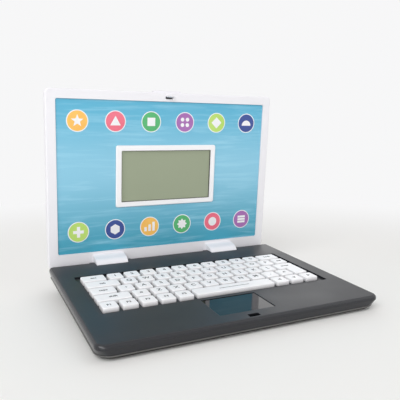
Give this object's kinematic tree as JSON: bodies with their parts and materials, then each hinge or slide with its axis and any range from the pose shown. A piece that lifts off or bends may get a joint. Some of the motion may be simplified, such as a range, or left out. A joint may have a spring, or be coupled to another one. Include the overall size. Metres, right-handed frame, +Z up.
{
  "type": "toy laptop computer",
  "caption": "Toy laptop with a dark wedge base, white keys that press, a glossy touchpad and a white hinged lid that holds a small grey-green LCD in a blue panel.",
  "frame": {"origin": "on the table under the middle of the box round the open laptop", "axes": "+X to the right along the lid hinge, +Y to the rear, +Z up"},
  "size_m": [0.282, 0.2232, 0.2213],
  "materials": {
    "case_plastic": "charcoal plastic with a fine satin texture",
    "touchpad_gloss": "polished black plastic",
    "key_white": "white plastic, satin",
    "lid_white": "white plastic, smooth",
    "panel_print": "printed plastic sheet",
    "lcd_glass": "unlit grey-green display behind clear glass",
    "silicone": "translucent silicone rubber",
    "foot_rubber": "matt black rubber",
    "board_green": "green solder mask on fibre board",
    "speaker_metal": "black steel basket and magnet",
    "cell_jacket": "plain printed jacket",
    "bare_steel": "plated steel"
  },
  "bodies": {
    "base": {"base_top_shell": "case_plastic", "base_bottom_shell": "case_plastic", "key_grid": "case_plastic", "key_mat": "silicone", "circuit_board": "board_green", "touchpad": "touchpad_gloss", "speaker": "speaker_metal", "aa_batteries": "cell_jacket", "battery_contacts": "bare_steel", "battery_door": "case_plastic", "rubber_feet": "foot_rubber", "base_screws": "bare_steel", "hinge_pins": "bare_steel"},
    "lid": {"lid_front_frame": "lid_white", "lid_back_cover": "lid_white", "screen_panel": "panel_print", "screen_bezel": "lid_white", "lcd_screen": "lcd_glass", "lcd_board": "board_green", "lid_screws": "bare_steel"},
    "space_key": {"space_key": "key_white"},
    "enter_key": {"enter_key": "key_white"},
    "number_keys": {"number_keys": "key_white"},
    "top_letter_keys": {"top_letter_keys": "key_white"},
    "escape_key": {"escape_key": "key_white"},
    "backspace_key": {"backspace_key": "key_white"},
    "tab_key": {"tab_key": "key_white"},
    "shift_key": {"shift_key": "key_white"},
    "key_a": {"key_a": "key_white"},
    "right_key": {"right_key": "key_white"},
    "delete_key": {"delete_key": "key_white"},
    "caps_key": {"caps_key": "key_white"},
    "music_key": {"music_key": "key_white"},
    "key_s": {"key_s": "key_white"},
    "key_d": {"key_d": "key_white"},
    "key_f": {"key_f": "key_white"},
    "key_g": {"key_g": "key_white"},
    "key_h": {"key_h": "key_white"},
    "key_j": {"key_j": "key_white"},
    "key_k": {"key_k": "key_white"},
    "key_l": {"key_l": "key_white"},
    "symbol_key": {"symbol_key": "key_white"},
    "key_z": {"key_z": "key_white"},
    "key_x": {"key_x": "key_white"},
    "key_c": {"key_c": "key_white"},
    "key_v": {"key_v": "key_white"},
    "key_b": {"key_b": "key_white"},
    "key_n": {"key_n": "key_white"},
    "key_m": {"key_m": "key_white"},
    "comma_key": {"comma_key": "key_white"},
    "up_key": {"up_key": "key_white"},
    "function_key_1": {"function_key_1": "key_white"},
    "function_key_2": {"function_key_2": "key_white"},
    "function_key_3": {"function_key_3": "key_white"},
    "function_key_4": {"function_key_4": "key_white"},
    "function_key_5": {"function_key_5": "key_white"},
    "left_key": {"left_key": "key_white"},
    "down_key": {"down_key": "key_white"}
  },
  "joints": [
    {"name": "lid_hinge", "type": "hinge", "parent": "base", "child": "lid", "pos_m": [0, 0.08916, 0.02078], "axis": [1, 0, 0], "range_deg": [-25, 89.1]},
    {"name": "press_space_key", "type": "slide", "parent": "base", "child": "space_key", "axis": [0, 0.061, -0.9981], "range_m": [0, 0.002], "stiffness_N_per_m": 300, "springref_m": -0.001, "deforming": ["key_mat"]},
    {"name": "press_enter_key", "type": "slide", "parent": "base", "child": "enter_key", "axis": [0, 0.061, -0.9981], "range_m": [0, 0.002], "stiffness_N_per_m": 300, "springref_m": -0.001, "deforming": ["key_mat"]},
    {"name": "press_number_keys", "type": "slide", "parent": "base", "child": "number_keys", "axis": [0, 0.061, -0.9981], "range_m": [0, 0.002], "stiffness_N_per_m": 900, "springref_m": -0.001, "deforming": ["key_mat"]},
    {"name": "press_top_letter_keys", "type": "slide", "parent": "base", "child": "top_letter_keys", "axis": [0, 0.061, -0.9981], "range_m": [0, 0.002], "stiffness_N_per_m": 900, "springref_m": -0.001, "deforming": ["key_mat"]},
    {"name": "press_escape_key", "type": "slide", "parent": "base", "child": "escape_key", "axis": [0, 0.061, -0.9981], "range_m": [0, 0.002], "stiffness_N_per_m": 300, "springref_m": -0.001, "deforming": ["key_mat"]},
    {"name": "press_backspace_key", "type": "slide", "parent": "base", "child": "backspace_key", "axis": [0, 0.061, -0.9981], "range_m": [0, 0.002], "stiffness_N_per_m": 300, "springref_m": -0.001, "deforming": ["key_mat"]},
    {"name": "press_tab_key", "type": "slide", "parent": "base", "child": "tab_key", "axis": [0, 0.061, -0.9981], "range_m": [0, 0.002], "stiffness_N_per_m": 300, "springref_m": -0.001, "deforming": ["key_mat"]},
    {"name": "press_shift_key", "type": "slide", "parent": "base", "child": "shift_key", "axis": [0, 0.061, -0.9981], "range_m": [0, 0.002], "stiffness_N_per_m": 300, "springref_m": -0.001, "deforming": ["key_mat"]},
    {"name": "press_key_a", "type": "slide", "parent": "base", "child": "key_a", "axis": [0, 0.061, -0.9981], "range_m": [0, 0.002], "stiffness_N_per_m": 300, "springref_m": -0.001, "deforming": ["key_mat"]},
    {"name": "press_right_key", "type": "slide", "parent": "base", "child": "right_key", "axis": [0, 0.061, -0.9981], "range_m": [0, 0.002], "stiffness_N_per_m": 300, "springref_m": -0.001, "deforming": ["key_mat"]},
    {"name": "press_delete_key", "type": "slide", "parent": "base", "child": "delete_key", "axis": [0, 0.061, -0.9981], "range_m": [0, 0.002], "stiffness_N_per_m": 300, "springref_m": -0.001, "deforming": ["key_mat"]},
    {"name": "press_caps_key", "type": "slide", "parent": "base", "child": "caps_key", "axis": [0, 0.061, -0.9981], "range_m": [0, 0.002], "stiffness_N_per_m": 300, "springref_m": -0.001, "deforming": ["key_mat"]},
    {"name": "press_music_key", "type": "slide", "parent": "base", "child": "music_key", "axis": [0, 0.061, -0.9981], "range_m": [0, 0.002], "stiffness_N_per_m": 300, "springref_m": -0.001, "deforming": ["key_mat"]},
    {"name": "press_key_s", "type": "slide", "parent": "base", "child": "key_s", "axis": [0, 0.061, -0.9981], "range_m": [0, 0.002], "stiffness_N_per_m": 300, "springref_m": -0.001, "deforming": ["key_mat"]},
    {"name": "press_key_d", "type": "slide", "parent": "base", "child": "key_d", "axis": [0, 0.061, -0.9981], "range_m": [0, 0.002], "stiffness_N_per_m": 300, "springref_m": -0.001, "deforming": ["key_mat"]},
    {"name": "press_key_f", "type": "slide", "parent": "base", "child": "key_f", "axis": [0, 0.061, -0.9981], "range_m": [0, 0.002], "stiffness_N_per_m": 300, "springref_m": -0.001, "deforming": ["key_mat"]},
    {"name": "press_key_g", "type": "slide", "parent": "base", "child": "key_g", "axis": [0, 0.061, -0.9981], "range_m": [0, 0.002], "stiffness_N_per_m": 300, "springref_m": -0.001, "deforming": ["key_mat"]},
    {"name": "press_key_h", "type": "slide", "parent": "base", "child": "key_h", "axis": [0, 0.061, -0.9981], "range_m": [0, 0.002], "stiffness_N_per_m": 300, "springref_m": -0.001, "deforming": ["key_mat"]},
    {"name": "press_key_j", "type": "slide", "parent": "base", "child": "key_j", "axis": [0, 0.061, -0.9981], "range_m": [0, 0.002], "stiffness_N_per_m": 300, "springref_m": -0.001, "deforming": ["key_mat"]},
    {"name": "press_key_k", "type": "slide", "parent": "base", "child": "key_k", "axis": [0, 0.061, -0.9981], "range_m": [0, 0.002], "stiffness_N_per_m": 300, "springref_m": -0.001, "deforming": ["key_mat"]},
    {"name": "press_key_l", "type": "slide", "parent": "base", "child": "key_l", "axis": [0, 0.061, -0.9981], "range_m": [0, 0.002], "stiffness_N_per_m": 300, "springref_m": -0.001, "deforming": ["key_mat"]},
    {"name": "press_symbol_key", "type": "slide", "parent": "base", "child": "symbol_key", "axis": [0, 0.061, -0.9981], "range_m": [0, 0.002], "stiffness_N_per_m": 300, "springref_m": -0.001, "deforming": ["key_mat"]},
    {"name": "press_key_z", "type": "slide", "parent": "base", "child": "key_z", "axis": [0, 0.061, -0.9981], "range_m": [0, 0.002], "stiffness_N_per_m": 300, "springref_m": -0.001, "deforming": ["key_mat"]},
    {"name": "press_key_x", "type": "slide", "parent": "base", "child": "key_x", "axis": [0, 0.061, -0.9981], "range_m": [0, 0.002], "stiffness_N_per_m": 300, "springref_m": -0.001, "deforming": ["key_mat"]},
    {"name": "press_key_c", "type": "slide", "parent": "base", "child": "key_c", "axis": [0, 0.061, -0.9981], "range_m": [0, 0.002], "stiffness_N_per_m": 300, "springref_m": -0.001, "deforming": ["key_mat"]},
    {"name": "press_key_v", "type": "slide", "parent": "base", "child": "key_v", "axis": [0, 0.061, -0.9981], "range_m": [0, 0.002], "stiffness_N_per_m": 300, "springref_m": -0.001, "deforming": ["key_mat"]},
    {"name": "press_key_b", "type": "slide", "parent": "base", "child": "key_b", "axis": [0, 0.061, -0.9981], "range_m": [0, 0.002], "stiffness_N_per_m": 300, "springref_m": -0.001, "deforming": ["key_mat"]},
    {"name": "press_key_n", "type": "slide", "parent": "base", "child": "key_n", "axis": [0, 0.061, -0.9981], "range_m": [0, 0.002], "stiffness_N_per_m": 300, "springref_m": -0.001, "deforming": ["key_mat"]},
    {"name": "press_key_m", "type": "slide", "parent": "base", "child": "key_m", "axis": [0, 0.061, -0.9981], "range_m": [0, 0.002], "stiffness_N_per_m": 300, "springref_m": -0.001, "deforming": ["key_mat"]},
    {"name": "press_comma_key", "type": "slide", "parent": "base", "child": "comma_key", "axis": [0, 0.061, -0.9981], "range_m": [0, 0.002], "stiffness_N_per_m": 300, "springref_m": -0.001, "deforming": ["key_mat"]},
    {"name": "press_up_key", "type": "slide", "parent": "base", "child": "up_key", "axis": [0, 0.061, -0.9981], "range_m": [0, 0.002], "stiffness_N_per_m": 300, "springref_m": -0.001, "deforming": ["key_mat"]},
    {"name": "press_function_key_1", "type": "slide", "parent": "base", "child": "function_key_1", "axis": [0, 0.061, -0.9981], "range_m": [0, 0.002], "stiffness_N_per_m": 300, "springref_m": -0.001, "deforming": ["key_mat"]},
    {"name": "press_function_key_2", "type": "slide", "parent": "base", "child": "function_key_2", "axis": [0, 0.061, -0.9981], "range_m": [0, 0.002], "stiffness_N_per_m": 300, "springref_m": -0.001, "deforming": ["key_mat"]},
    {"name": "press_function_key_3", "type": "slide", "parent": "base", "child": "function_key_3", "axis": [0, 0.061, -0.9981], "range_m": [0, 0.002], "stiffness_N_per_m": 300, "springref_m": -0.001, "deforming": ["key_mat"]},
    {"name": "press_function_key_4", "type": "slide", "parent": "base", "child": "function_key_4", "axis": [0, 0.061, -0.9981], "range_m": [0, 0.002], "stiffness_N_per_m": 300, "springref_m": -0.001, "deforming": ["key_mat"]},
    {"name": "press_function_key_5", "type": "slide", "parent": "base", "child": "function_key_5", "axis": [0, 0.061, -0.9981], "range_m": [0, 0.002], "stiffness_N_per_m": 300, "springref_m": -0.001, "deforming": ["key_mat"]},
    {"name": "press_left_key", "type": "slide", "parent": "base", "child": "left_key", "axis": [0, 0.061, -0.9981], "range_m": [0, 0.002], "stiffness_N_per_m": 300, "springref_m": -0.001, "deforming": ["key_mat"]},
    {"name": "press_down_key", "type": "slide", "parent": "base", "child": "down_key", "axis": [0, 0.061, -0.9981], "range_m": [0, 0.002], "stiffness_N_per_m": 300, "springref_m": -0.001, "deforming": ["key_mat"]}
  ]
}
